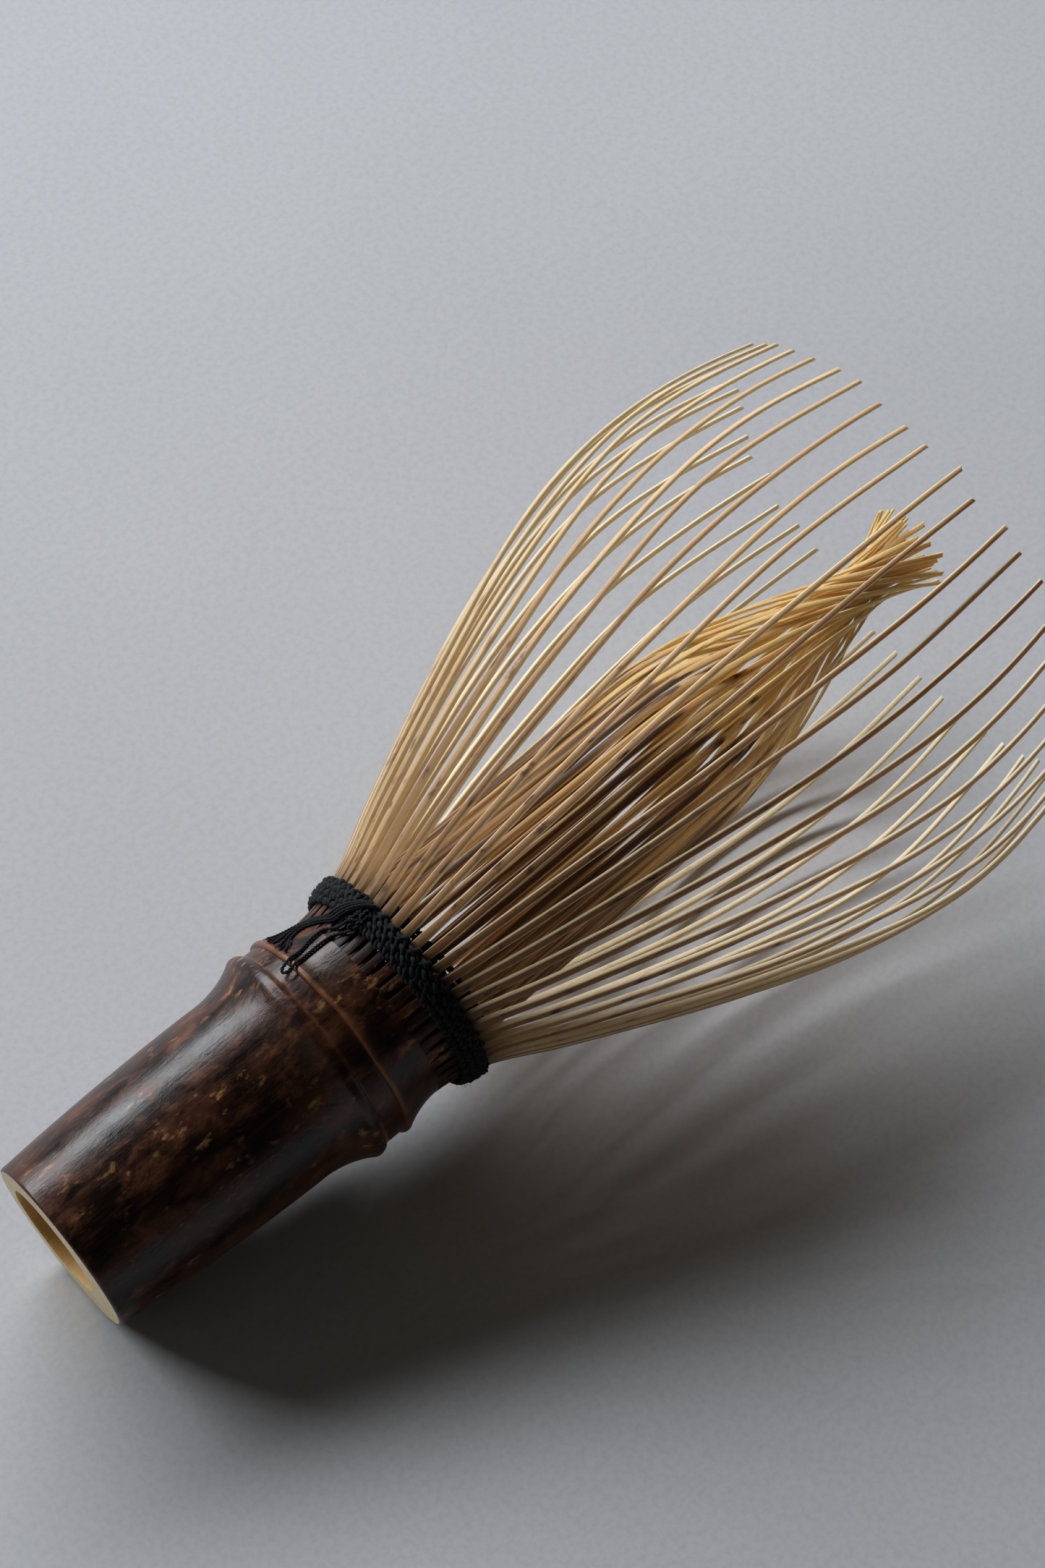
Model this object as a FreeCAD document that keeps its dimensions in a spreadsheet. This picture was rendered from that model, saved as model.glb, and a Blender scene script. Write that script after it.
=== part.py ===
import FreeCAD, Part
import math
import os
import Sketcher

# Bamboo tea whisk (chasen), lying on its side on z = 0.
# Everything is drawn upright round the local Z axis, s = height above the handle's cut end, with
# local +X the side that faces the table.  One common placement then lays the whisk down, so that
# it rests on the rim of the handle and on the two lowest outer tines, tines towards +X.

V = FreeCAD.Vector
os.makedirs("parts", exist_ok=True)
doc = FreeCAD.newDocument("tea_whisk")
sheet = doc.addObject("Spreadsheet::Sheet", "dims")

DIMENSIONS = [
    # culm (the handle, its node and the collar above it)
    ("end_rad", 10.35), ("end_edge", 0.30), ("bore_rad", 6.50),
    ("bore_off_x", 0.20), ("bore_off_y", 1.20),
    ("swell_s", 26.0), ("swell_rad", 11.40), ("handle_arc", 320.0),
    ("low_crest_s", 32.6), ("low_crest_rad", 13.05), ("flare_arc", 11.5),
    ("shoulder_s", 34.0), ("shoulder_rad", 12.65),
    ("node_s", 35.0), ("groove_rad", 12.50), ("crest_arc", 1.20),
    ("lip_s", 36.15), ("lip_arc", 0.50),
    ("high_crest_s", 36.75), ("high_crest_rad", 12.92), ("neck_arc", 9.5),
    ("split_s", 41.5), ("split_rad", 11.65), ("collar_bore_rad", 9.00),
    ("diaphragm_thick", 1.50), ("bend_deg", 2.0), ("cut_margin", 0.80),
    # outer tines
    ("outer_width_root", 1.06), ("outer_width_tip", 0.58),
    ("outer_thick_root", 0.86), ("outer_thick_tip", 0.40), ("outer_tip_s", 121.0),
    ("taper_power", 0.65),
    # inner tines
    ("inner_width_root", 0.42), ("inner_width_mid", 0.95), ("inner_width_tip", 0.60),
    ("inner_thick_root", 0.80), ("inner_thick_tip", 0.26), ("inner_tip_s", 121.8),
    ("gather_s", 113.8), ("gather_rate", 0.223), ("inner_lean", 0.95),
    # thread
    ("row_height", 1.05), ("row_first_s", 44.1), ("row_low_rad", 13.35), ("row_mid_rad", 13.47),
    ("row_high_rad", 13.38), ("weave_s", 46.9), ("weave_height", 2.3),
    ("weave_in_rad", 11.02), ("weave_out_rad", 11.98), ("strand_rad", 0.19),
]
GROUPS = 16
PER_GROUP = 3
PITCH_DEG = 360.0 / (GROUPS * PER_GROUP)

for row, (alias, value) in enumerate(DIMENSIONS, start=1):
    sheet.set("A%d" % row, alias)
    sheet.set("B%d" % row, str(value))
    sheet.setAlias("B%d" % row, alias)
for offset, alias in enumerate(("lay_turn", "lay_x", "lay_y", "lay_z")):
    row = len(DIMENSIONS) + 2 + offset
    sheet.set("A%d" % row, alias)
    sheet.set("B%d" % row, "0")
    sheet.setAlias("B%d" % row, alias)
doc.recompute()


def dim(alias):
    return float(getattr(sheet, alias))


LAY = ("placement(vector(dims.lay_x; dims.lay_y; dims.lay_z);"
       " rotation(vector(0; 1; 0); dims.lay_turn))")
nodes = []


def keep(obj, label):
    """Name an object as one node of the part and tie its placement to the common one."""
    obj.Label = label
    obj.setExpression("Placement", LAY)
    nodes.append(obj)
    return obj


# ---- turned pieces: sketches of straight edges and arcs, revolved round the whisk's axis ----

def arc_geometry(start, end, radius, bulge):
    """Arc between two points; bulge +1 swells outwards on the way up the outline, -1 inwards."""
    chord = end - start
    half = chord.Length / 2.0
    side = V(chord.y, -chord.x, 0).normalize()
    centre = (start + end) * 0.5 - side * (bulge * math.sqrt(radius * radius - half * half))
    first, second = (start, end) if bulge > 0 else (end, start)
    turns = [math.atan2(p.y - centre.y, p.x - centre.x) for p in (first, second)]
    if turns[1] < turns[0]:
        turns[1] += 2.0 * math.pi
    return Part.ArcOfCircle(Part.Circle(centre, V(0, 0, 1), radius), turns[0], turns[1])


def turned_body(name, steps):
    """steps: (x, y, arc radius or None, bulge), the first three as expressions of the sheet.

    Each step ends at its point, and its arc or line comes from the point before it.
    """
    body = doc.addObject("PartDesign::Body", name)
    sketch = body.newObject("Sketcher::SketchObject", name + "_outline")
    plane = [f for f in body.Origin.OriginFeatures if f.Role == "XZ_Plane"][0]
    sketch.AttachmentSupport = [(plane, "")]
    sketch.MapMode = "FlatFace"

    def value(expression):
        return float(sheet.evalExpression(expression))

    points = [V(value(x), value(y), 0) for x, y, _, _ in steps]
    for i, (_, _, radius, bulge) in enumerate(steps):
        start, end = points[i - 1], points[i]
        if radius:
            sketch.addGeometry(arc_geometry(start, end, value(radius), bulge))
        else:
            sketch.addGeometry(Part.LineSegment(start, end))
    ends = []
    for i in range(len(steps)):
        geometry = sketch.Geometry[i]
        reversed_arc = (geometry.StartPoint - points[i]).Length < 1e-6
        ends.append(1 if reversed_arc else 2)
    for i, (x, y, radius, _) in enumerate(steps):
        following = (i + 1) % len(steps)
        sketch.addConstraint(Sketcher.Constraint(
            "Coincident", i, ends[i], following, 3 - ends[following]))
        for kind, expression in (("DistanceX", x), ("DistanceY", y)):
            size = points[i].x if kind == "DistanceX" else points[i].y
            if abs(size) < 1e-9:
                line = -1 if kind == "DistanceY" else -2
                sketch.addConstraint(Sketcher.Constraint("PointOnObject", i, ends[i], line))
                continue
            index = sketch.addConstraint(Sketcher.Constraint(kind, -1, 1, i, ends[i], size))
            sketch.setExpression("Constraints[%d]" % index, expression)
        if radius:
            index = sketch.addConstraint(Sketcher.Constraint("Radius", i, value(radius)))
            sketch.setExpression("Constraints[%d]" % index, radius)
    turn = body.newObject("PartDesign::Revolution", name + "_turn")
    turn.Profile = sketch
    turn.ReferenceAxis = (sketch, ["V_Axis"])
    turn.Angle = 360.0
    sketch.Visibility = False
    return body


# Handle: hollow culm, widening to the lower ridge of the node.  It is drawn a little past the
# node and cut there, because the culm bends at its node and the two halves meet on one plane.
# Its hollow isn't central: the wall is thickest on the side away from the offset.
BEND = "rotation(vector(1; 0; 0); dims.bend_deg)"
culm = turned_body("culm_blank", [
    ("0", "0", None, 0),
    ("dims.end_rad - dims.end_edge", "0", None, 0),
    ("dims.end_rad", "dims.end_edge", None, 0),
    ("dims.swell_rad", "dims.swell_s", "dims.handle_arc", 1),
    ("dims.low_crest_rad", "dims.low_crest_s", "dims.flare_arc", -1),
    ("dims.shoulder_rad", "dims.shoulder_s", "dims.crest_arc", 1),
    ("dims.groove_rad", "dims.node_s", None, 0),
    ("dims.groove_rad", "dims.node_s + dims.cut_margin", None, 0),
    ("0", "dims.node_s + dims.cut_margin", None, 0),
])
culm.setExpression("Placement", (
    "placement(vector(0; dims.node_s * sin(dims.bend_deg); dims.node_s * (1 - cos(dims.bend_deg)));"
    " %s)" % BEND))
hollow = doc.addObject("Part::Cylinder", "culm_hollow")
hollow.setExpression("Radius", "dims.bore_rad")
hollow.setExpression("Height", "dims.node_s + 3 * dims.cut_margin")
hollow.setExpression("Placement", (
    "placement(vector(dims.bore_off_x;"
    " dims.bore_off_y * cos(dims.bend_deg) + (dims.node_s + dims.cut_margin) * sin(dims.bend_deg);"
    " dims.bore_off_y * sin(dims.bend_deg) + dims.node_s"
    " - (dims.node_s + dims.cut_margin) * cos(dims.bend_deg)); %s)" % BEND))
blank = doc.addObject("Part::Cut", "hollow_culm")
blank.Base = culm
blank.Tool = hollow
above_node = doc.addObject("Part::Box", "above_node")
for side in ("Length", "Width", "Height"):
    above_node.setExpression(side, "4 * dims.groove_rad")
above_node.setExpression("Placement.Base.x", "-2 * dims.groove_rad")
above_node.setExpression("Placement.Base.y", "-2 * dims.groove_rad")
above_node.setExpression("Placement.Base.z", "dims.node_s")
handle = doc.addObject("Part::Cut", "handle_culm")
handle.Base = blank
handle.Tool = above_node
keep(handle, "handle_culm")

# Collar: from the node's groove over the upper ridge down to the waist where the splits start.
keep(turned_body("collar", [
    ("dims.collar_bore_rad", "dims.node_s", None, 0),
    ("dims.groove_rad", "dims.node_s", None, 0),
    ("dims.groove_rad", "dims.lip_s", None, 0),
    ("dims.high_crest_rad", "dims.high_crest_s", "dims.lip_arc", 1),
    ("dims.split_rad", "dims.split_s", "dims.neck_arc", -1),
    ("dims.collar_bore_rad", "dims.split_s", None, 0),
]), "collar")

# Diaphragm: the wall that closes a bamboo culm at its node.
keep(turned_body("node_diaphragm", [
    ("0", "dims.node_s", None, 0),
    ("dims.collar_bore_rad", "dims.node_s", None, 0),
    ("dims.collar_bore_rad", "dims.node_s + dims.diaphragm_thick", None, 0),
    ("0", "dims.node_s + dims.diaphragm_thick", None, 0),
]), "node_diaphragm")


# ---- tines ----

# Outside radius of an outer tine at each height: pressed out by the thread, then nearly straight,
# widest at three quarters of its length and curling back in.
OUTER_LINE = [(41.5, 11.65), (43.0, 11.78), (44.8, 12.12), (46.2, 12.50), (48.2, 13.20),
              (50.5, 14.25), (55.0, 16.60), (61.0, 19.45), (69.0, 23.05), (77.0, 26.35),
              (85.0, 29.20), (92.0, 31.15), (98.0, 32.20), (102.0, 32.48), (107.0, 32.25),
              (112.0, 31.55), (117.0, 30.45), (121.0, 29.40)]
# Outside radius of an inner tine: tucked under the weave, a straight cage, drawn together near
# the top and flared again at the tips.
INNER_LINE = [(41.5, 11.60), (43.2, 11.45), (45.0, 11.02), (47.0, 10.72), (50.0, 10.50),
              (56.0, 10.30), (64.0, 10.20), (72.0, 10.15), (80.0, 10.15), (86.0, 9.98),
              (92.0, 9.30), (97.0, 8.15), (102.0, 6.60), (106.5, 4.95), (110.0, 3.70),
              (113.8, 2.78), (117.0, 3.30), (121.8, 5.60)]


def along(line, s):
    """Height to radius, smooth through every listed point."""
    last = len(line) - 1
    k = 0
    while k < last - 1 and s > line[k + 1][0]:
        k += 1

    def slope(i):
        low, high = line[max(i - 1, 0)], line[min(i + 1, last)]
        return (high[1] - low[1]) / (high[0] - low[0])

    (s0, r0), (s1, r1) = line[k], line[k + 1]
    span = s1 - s0
    u = (s - s0) / span
    return ((2 * u ** 3 - 3 * u ** 2 + 1) * r0 + (u ** 3 - 2 * u ** 2 + u) * span * slope(k)
            + (3 * u ** 2 - 2 * u ** 3) * r1 + (u ** 3 - u ** 2) * span * slope(k + 1))


def uneven(index, salt):
    """A repeatable number from -1 to 1, for the small differences of hand-split tines."""
    wave = math.sin(index * 12.9898 + salt * 78.233) * 43758.5453
    return 2.0 * (wave - math.floor(wave)) - 1.0


def smooth(low, high, s):
    u = min(max((s - low) / (high - low), 0.0), 1.0)
    return u * u * (3.0 - 2.0 * u)


def strip(path, outward, width, thickness, heights):
    """Solid strip through rectangles set square to its path."""
    wires = []
    for s in heights:
        centre = path(s)
        tangent = (path(s + 0.05) - path(s - 0.05)).normalize()
        across = tangent.cross(outward(s)).normalize()
        out = across.cross(tangent).normalize()
        half_w = across * (width(s) / 2.0)
        half_t = out * (thickness(s) / 2.0)
        corners = [centre - half_w - half_t, centre + half_w - half_t,
                   centre + half_w + half_t, centre - half_w + half_t]
        wires.append(Part.makePolygon(corners + corners[:1]))
    return Part.makeLoft(wires, True, False)


def spread_heights(low, high, count):
    return [low + (high - low) * k / (count - 1) for k in range(count)]


root = dim("split_s")


def taper(first, second, s):
    """A tine is shaved thin: it loses most of its width and thickness early on."""
    u = max(s - root, 0.0) / (dim("outer_tip_s") - root)
    return dim(first) + (dim(second) - dim(first)) * u ** dim("taper_power")


def outer_angle(i):
    level = 0.0 if i in (0, 47) else 1.0
    return (i + 0.5) * PITCH_DEG + level * 1.0 * uneven(i, 1)


def outer_tine(i):
    """Outer tine i; the two that touch the table (i = 0 and 47) are left exactly even."""
    level = 0.0 if i in (0, 47) else 1.0
    foot = math.radians((i + 0.5) * PITCH_DEG)
    angle = math.radians(outer_angle(i))
    swing = level * (-0.30 + 0.35 * uneven(i, 2))
    tip = dim("outer_tip_s") + level * 0.7 * uneven(i, 3)

    def outward(s):
        phi = foot + (angle - foot) * smooth(root + 4, 100, s)
        return V(math.cos(phi), math.sin(phi), 0)

    def path(s):
        radius = along(OUTER_LINE, s) - taper("outer_thick_root", "outer_thick_tip", s) / 2.0
        return outward(s) * (radius + swing * smooth(root + 8, 105, s)) + V(0, 0, s)

    return strip(path, outward,
                 lambda s: taper("outer_width_root", "outer_width_tip", s),
                 lambda s: taper("outer_thick_root", "outer_thick_tip", s),
                 [root, 44.5] + spread_heights(48.2, tip, 14))


def inner_width(s):
    """An inner tine squeezes between two outer ones at its root and is wider above the thread."""
    first, middle, last = dim("inner_width_root"), dim("inner_width_mid"), dim("inner_width_tip")
    return first + (middle - first) * smooth(46, 56, s) + (last - middle) * smooth(86, 112, s)


def inner_tine(i):
    """Inner tine i.  The bundle is twisted as it is drawn together, so every tine crosses the
    narrowest place aslant, in one of four layers, and flares out on the far side."""
    layer = (1.0, 0.62, 0.81, 0.43)[i % 4]
    foot = math.radians(i * PITCH_DEG)
    rate, gather_s = dim("gather_rate"), dim("gather_s")
    tip = dim("inner_tip_s") + 0.9 * uneven(i, 4)

    def outward(s):
        twist = math.atan(rate * (s - gather_s)) + math.atan(rate * (gather_s - root))
        return V(math.cos(foot + twist), math.sin(foot + twist), 0)

    def path(s):
        drawn_in = smooth(86, 110, s)
        radius = along(INNER_LINE, s) * (1.0 - drawn_in * (1.0 - layer))
        radius -= taper("inner_thick_root", "inner_thick_tip", s) / 2.0
        lean = dim("inner_lean") * smooth(56, 112, s)
        return outward(s) * radius + V(-0.4 * lean, 0.9 * lean, s)

    return strip(path, outward, inner_width,
                 lambda s: taper("inner_thick_root", "inner_thick_tip", s),
                 [root, 44.5] + spread_heights(48.0, 96.0, 9) + spread_heights(98.5, tip, 15))


def tine_group(make, first):
    return Part.makeCompound([make(first + k) for k in range(PER_GROUP)])


# The two widths and thicknesses of a tine change along a curve in space, which neither a pad nor
# a primitive makes, so each group is a plain shape.  A group is one of the first sixteen splits.
for group in range(GROUPS):
    for title, make in (("outer", outer_tine), ("inner", inner_tine)):
        tines = doc.addObject("Part::Feature", "%s_tines_%02d" % (title, group + 1))
        tines.Shape = tine_group(make, group * PER_GROUP)
        keep(tines, "%s_tines_%02d" % (title, group + 1))


# ---- thread ----

# Three turns of black cord round the roots of the outer tines.  Each lies against the slope of
# the tines, so the lowest turn is the thickest.
LIFT = 0.03
for k, (crown, shoulder) in enumerate((("row_low_rad", 0.45), ("row_mid_rad", 0.45),
                                       ("row_high_rad", 0.18))):
    low = "dims.row_first_s + %d * dims.row_height" % k
    high = "dims.row_first_s + %d * dims.row_height" % (k + 1)
    inner = [str(round(along(OUTER_LINE, float(sheet.evalExpression(s))) + LIFT, 4))
             for s in (low, high)]
    side = "dims.%s - %s" % (crown, shoulder)
    keep(turned_body("thread_turn_%d" % (k + 1), [
        (inner[0], low, None, 0),
        (side, low, None, 0),
        (side, high, "dims.row_height", 1),
        (inner[1], high, None, 0),
    ]), "thread_turn_%d" % (k + 1))

# The cord that weaves between the two layers of tines and holds them apart.
keep(turned_body("thread_weave", [
    ("dims.weave_in_rad", "dims.weave_s", None, 0),
    ("dims.weave_out_rad", "dims.weave_s", None, 0),
    ("dims.weave_out_rad", "dims.weave_s + dims.weave_height", None, 0),
    ("dims.weave_in_rad", "dims.weave_s + dims.weave_height", None, 0),
]), "thread_weave")


def collar_radius(s):
    """Outside radius of the culm between the upper ridge and the thread."""
    crest, split = dim("high_crest_s"), dim("split_s")
    if s >= split:
        return along(OUTER_LINE, s)
    start = V(dim("high_crest_rad"), crest, 0)
    end = V(dim("split_rad"), split, 0)
    arc = arc_geometry(start, end, dim("neck_arc"), -1)
    edge = arc.toShape()
    cut = edge.distToShape(Part.makeLine(V(0, max(s, crest + 0.01), 0),
                                         V(40, max(s, crest + 0.01), 0)))
    return cut[1][0][0].x


def cord(points, radius):
    """Round strand through points given as angle, height and gap above the culm."""
    rows = []
    for degrees, s, gap in points:
        phi = math.radians(degrees)
        r = collar_radius(s) + gap + radius
        rows.append(V(r * math.cos(phi), r * math.sin(phi), s))
    curve = Part.BSplineCurve()
    curve.interpolate(rows)
    spine = Part.Wire([curve.toShape()])
    ring = Part.Wire([Part.makeCircle(radius, rows[0], curve.tangent(0)[0])])
    return spine.makePipeShell([ring], True, True)


# The tied-off tail: strands side by side from the turns down to the upper ridge, fanning out at
# their cut ends, and one strand beside them that is doubled back and hangs over the ridge.
TAIL_LINE = [(160.0, 44.0, 0.28, 1.0), (155.0, 43.0, 0.12, 1.0), (142.5, 41.9, 0.05, 1.0),
             (137.5, 40.5, 0.05, 1.0), (139.0, 38.9, 0.05, 1.6), (145.0, 37.2, 0.08, 2.6)]
TAIL_STEP = 1.95
strands = []
for k in range(4):
    step = (k - 1.5) * TAIL_STEP
    strands.append(cord([(degrees + step * fan, s, gap) for degrees, s, gap, fan in TAIL_LINE],
                        dim("strand_rad")))
tail = doc.addObject("Part::Feature", "thread_tail")
tail.Shape = Part.makeCompound(strands)
keep(tail, "thread_tail")

BIGHT_LINE = [(168.5, 44.0, 0.28), (162.0, 42.9, 0.10), (155.5, 41.7, 0.06), (156.2, 40.0, 0.06),
              (160.2, 38.3, 0.06), (163.0, 36.8, 0.08), (165.1, 35.5, 0.12), (166.2, 35.15, 0.12),
              (167.7, 35.1, 0.12), (168.8, 35.4, 0.12), (168.7, 35.9, 0.12), (166.9, 37.3, 0.08),
              (164.5, 38.8, 0.06), (163.0, 40.3, 0.06), (163.6, 41.8, 0.06), (168.0, 43.0, 0.10),
              (173.5, 44.0, 0.28)]
loop = doc.addObject("Part::Feature", "thread_bight")
loop.Shape = cord(BIGHT_LINE, dim("strand_rad"))
keep(loop, "thread_bight")


# ---- lay the whisk down ----

# The turn about Y that brings the two lowest outer tines level with the rim of the handle.
level_cos = math.cos(math.radians(PITCH_DEG / 2.0))
rim_x, rim_s = dim("end_rad"), dim("end_edge")
steepest = max((along(OUTER_LINE, s) * level_cos - rim_x) / (s - rim_s)
               for s in spread_heights(80.0, 115.0, 141))
lay_turn = 90.0 - math.degrees(math.atan(steepest))
sheet.set(sheet.getCellFromAlias("lay_turn"), "%.4f" % lay_turn)
doc.recompute()


def whole_box():
    box = FreeCAD.BoundBox()
    for obj in nodes:
        box.add(obj.Shape.optimalBoundingBox(False))
    return box


first = whole_box()
centre_x = (first.XMin + first.XMax) / 2.0
centre_y = (first.YMin + first.YMax) / 2.0
for alias, size in (("lay_x", -centre_x), ("lay_y", -centre_y), ("lay_z", -first.ZMin)):
    sheet.set(sheet.getCellFromAlias(alias), "%.4f" % size)
doc.recompute()

for obj in doc.Objects:
    if "Invalid" in obj.State or "Error" in obj.State:
        raise RuntimeError("%s did not compute: %s" % (obj.Label, obj.State))
for obj in nodes:
    if obj.Shape.isNull() or not obj.Shape.isValid():
        raise RuntimeError("%s has no valid shape" % obj.Label)
    if not obj.Shape.Solids:
        raise RuntimeError("%s has no solid" % obj.Label)

for obj in nodes:
    obj.Shape.exportStep(os.path.join("parts", obj.Label + ".step"))

last = whole_box()
print("nodes", len(nodes), "box", [round(v, 3) for v in (
    last.XMin, last.YMin, last.ZMin, last.XMax, last.YMax, last.ZMax)])
print("lay", [round(dim(a), 4) for a in ("lay_turn", "lay_x", "lay_y", "lay_z")])
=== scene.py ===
import math

import bpy
import numpy as np
from mathutils import Matrix, Vector


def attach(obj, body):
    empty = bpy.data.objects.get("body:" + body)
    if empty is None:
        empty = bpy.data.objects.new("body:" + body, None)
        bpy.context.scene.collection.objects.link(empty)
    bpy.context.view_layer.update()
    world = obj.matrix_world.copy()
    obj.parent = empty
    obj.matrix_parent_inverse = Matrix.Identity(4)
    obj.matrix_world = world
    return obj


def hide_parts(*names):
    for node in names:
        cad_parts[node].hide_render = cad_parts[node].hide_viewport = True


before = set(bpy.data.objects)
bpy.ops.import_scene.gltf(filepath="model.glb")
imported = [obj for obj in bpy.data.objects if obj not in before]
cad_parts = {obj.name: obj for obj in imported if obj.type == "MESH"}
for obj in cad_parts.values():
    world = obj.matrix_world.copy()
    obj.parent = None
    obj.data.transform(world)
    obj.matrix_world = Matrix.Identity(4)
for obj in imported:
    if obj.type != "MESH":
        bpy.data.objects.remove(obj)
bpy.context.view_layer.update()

SCENE = bpy.context.scene

# The whisk is built upright round the local Z axis, in millimetres: s is the height above the
# handle's cut end.  to_row() lays it down in the row frame, as the CAD does.
MM, CM = 0.001, 0.01                    # in metres
LAY_TURN = math.radians(77.2595)        # about Y, from upright to lying
LAY_BASE = np.array([-61.1604, -0.0740, 10.0548])
TURN_C, TURN_S = math.cos(LAY_TURN), math.sin(LAY_TURN)

# Culm
NODE_S = 35.0                           # the handle ends and the collar starts
BEND = math.radians(2.0)                # the handle leans this much from the rest
SPLIT_S = 41.5                          # foot of the slits
SPLIT_RADIUS = 11.65
END_RADIUS = 10.05                      # flat of the sawn end, inside its rounded edge
SHOULDER_S, LIP_S = 34.05, 36.5         # the node's shoulder, where a highlight line is painted, and its lip, which hands have rubbed
GROOVE_RADIUS = 12.50                   # between the node's two ridges
HIGH_RIDGE = (12.92, 36.75)             # radius and height of the upper ridge
COLLAR_BORE = 9.0
HOLLOW_RADIUS, MOUTH_RADIUS = 6.50, 6.62
HOLLOW_X, HOLLOW_Y = 0.20, 1.20         # the hollow's axis stands off the culm's

# Tines
TINES, TINES_PER_NODE = 48, 3           # in each of the two layers
PITCH = 2.0 * math.pi / TINES
TIP_S, INNER_TIP_S = 121.0, 121.8
PINCH_S = 113.8                         # the inner tines cross here
TWIST_RATE = 0.223                      # how quickly they turn there, radians a millimetre
GATHER_LEAN = 0.95                      # how far the gathered tines stand off the axis
DRAWN_IN = (1.0, 0.62, 0.81, 0.43)      # radii at the pinch, from one tine to the next

# Cord
PLIES = 2
PLY_OFFSET, PLY_RADIUS = 0.47, 0.58     # of the cord's own radius

# Heights and outside radii of the tines
OUTER_LINE = np.array([
    (41.5, 11.65), (43.0, 11.78), (44.8, 12.12), (46.2, 12.50), (48.2, 13.20),
    (50.5, 14.25), (55.0, 16.60), (61.0, 19.45), (69.0, 23.05), (77.0, 26.35),
    (85.0, 29.20), (92.0, 31.15), (98.0, 32.20), (102.0, 32.48), (107.0, 32.25),
    (112.0, 31.55), (117.0, 30.45), (121.0, 29.40)])
INNER_LINE = np.array([
    (41.5, 11.60), (43.2, 11.45), (45.0, 11.02), (47.0, 10.72), (50.0, 10.50),
    (56.0, 10.30), (64.0, 10.20), (72.0, 10.15), (80.0, 10.15), (86.0, 9.98),
    (92.0, 9.30), (97.0, 8.15), (102.0, 6.60), (106.5, 4.95), (110.0, 3.70),
    (113.8, 2.78), (117.0, 3.30), (121.8, 5.60)])


# ---- small tools ----

def to_row(points):
    """Local millimetres to metres in the row frame."""
    x, y, s = points[:, 0], points[:, 1], points[:, 2]
    turned = np.stack([x * TURN_C + s * TURN_S, y, -x * TURN_S + s * TURN_C], axis=1)
    return (turned + LAY_BASE) * MM


def along(line, s):
    """Height to radius, smooth through every listed point."""
    s = np.asarray(s, dtype=float)
    xs, ys = line[:, 0], line[:, 1]
    slopes = np.empty_like(ys)
    slopes[1:-1] = (ys[2:] - ys[:-2]) / (xs[2:] - xs[:-2])
    slopes[0] = (ys[1] - ys[0]) / (xs[1] - xs[0])
    slopes[-1] = (ys[-1] - ys[-2]) / (xs[-1] - xs[-2])
    k = np.clip(np.searchsorted(xs, s) - 1, 0, len(xs) - 2)
    span = xs[k + 1] - xs[k]
    u = (s - xs[k]) / span
    return ((2 * u**3 - 3 * u**2 + 1) * ys[k] + (u**3 - 2 * u**2 + u) * span * slopes[k]
            + (3 * u**2 - 2 * u**3) * ys[k + 1] + (u**3 - u**2) * span * slopes[k + 1])


def uneven(index, salt):
    """A repeatable number from -1 to 1, for the small differences of handwork."""
    wave = math.sin(index * 12.9898 + salt * 78.233) * 43758.5453
    return 2.0 * (wave - math.floor(wave)) - 1.0


def smooth(low, high, s):
    """0 below low, 1 above high and a gentle step between."""
    u = np.clip((np.asarray(s, dtype=float) - low) / (high - low), 0.0, 1.0)
    return u * u * (3.0 - 2.0 * u)


def unit(v):
    return v / np.maximum(np.linalg.norm(v, axis=-1, keepdims=True), 1e-12)


class Shape:
    """Collects vertices, faces and a value or two for each vertex, then becomes one object."""

    def __init__(self):
        self.verts, self.faces, self.count = [], [], 0
        self.values = {}
        self.slots = []

    def add(self, verts, faces, slot=0, **values):
        self.verts.append(verts)
        self.faces.extend([tuple(i + self.count for i in f) for f in faces])
        self.count += len(verts)
        self.slots.extend([slot] * len(faces))
        for key, value in values.items():
            self.values.setdefault(key, []).append(np.broadcast_to(value, (len(verts),)))

    def build(self, name, materials, nodes, sharp=None):
        mesh = bpy.data.meshes.new(name)
        mesh.from_pydata(to_row(np.concatenate(self.verts)).tolist(), [], self.faces)
        for key, data in self.values.items():
            layer = mesh.attributes.new(key, "FLOAT", "POINT")
            layer.data.foreach_set("value", np.concatenate(data).astype(np.float32))
        for material in materials:
            mesh.materials.append(material)
        mesh.polygons.foreach_set("material_index", self.slots)
        mesh.shade_smooth()
        if sharp:
            mesh.set_sharp_from_angle(angle=math.radians(sharp))
        mesh.validate()
        obj = bpy.data.objects.new(name, mesh)
        SCENE.collection.objects.link(obj)
        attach(obj, "root")
        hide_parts(*nodes)


def grid_faces(rings, sides, closed_along=False):
    """Quads between rings of the same number of points, ring after ring."""
    faces = []
    for i in range(rings if closed_along else rings - 1):
        a, b = i * sides, ((i + 1) % rings) * sides
        for j in range(sides):
            k = (j + 1) % sides
            faces.append((a + j, a + k, b + k, b + j))
    return faces


def end_caps(rings, sides):
    """The two faces that close the ends of such a grid."""
    last = (rings - 1) * sides
    return [tuple(reversed(range(sides))), tuple(last + j for j in range(sides))]


def spline(points, per_span):
    """Catmull-Rom curve through rows of numbers."""
    p = np.vstack([2 * points[0] - points[1], points, 2 * points[-1] - points[-2]])
    out = []
    for i in range(1, len(p) - 2):
        u = np.linspace(0, 1, per_span, endpoint=False)[:, None]
        out.append(0.5 * (2 * p[i] + (p[i + 1] - p[i - 1]) * u
                          + (2 * p[i - 1] - 5 * p[i] + 4 * p[i + 1] - p[i + 2]) * u**2
                          + (3 * p[i] - p[i - 1] - 3 * p[i + 1] + p[i + 2]) * u**3))
    out.append(points[-1][None, :])
    return np.vstack(out)


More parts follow.
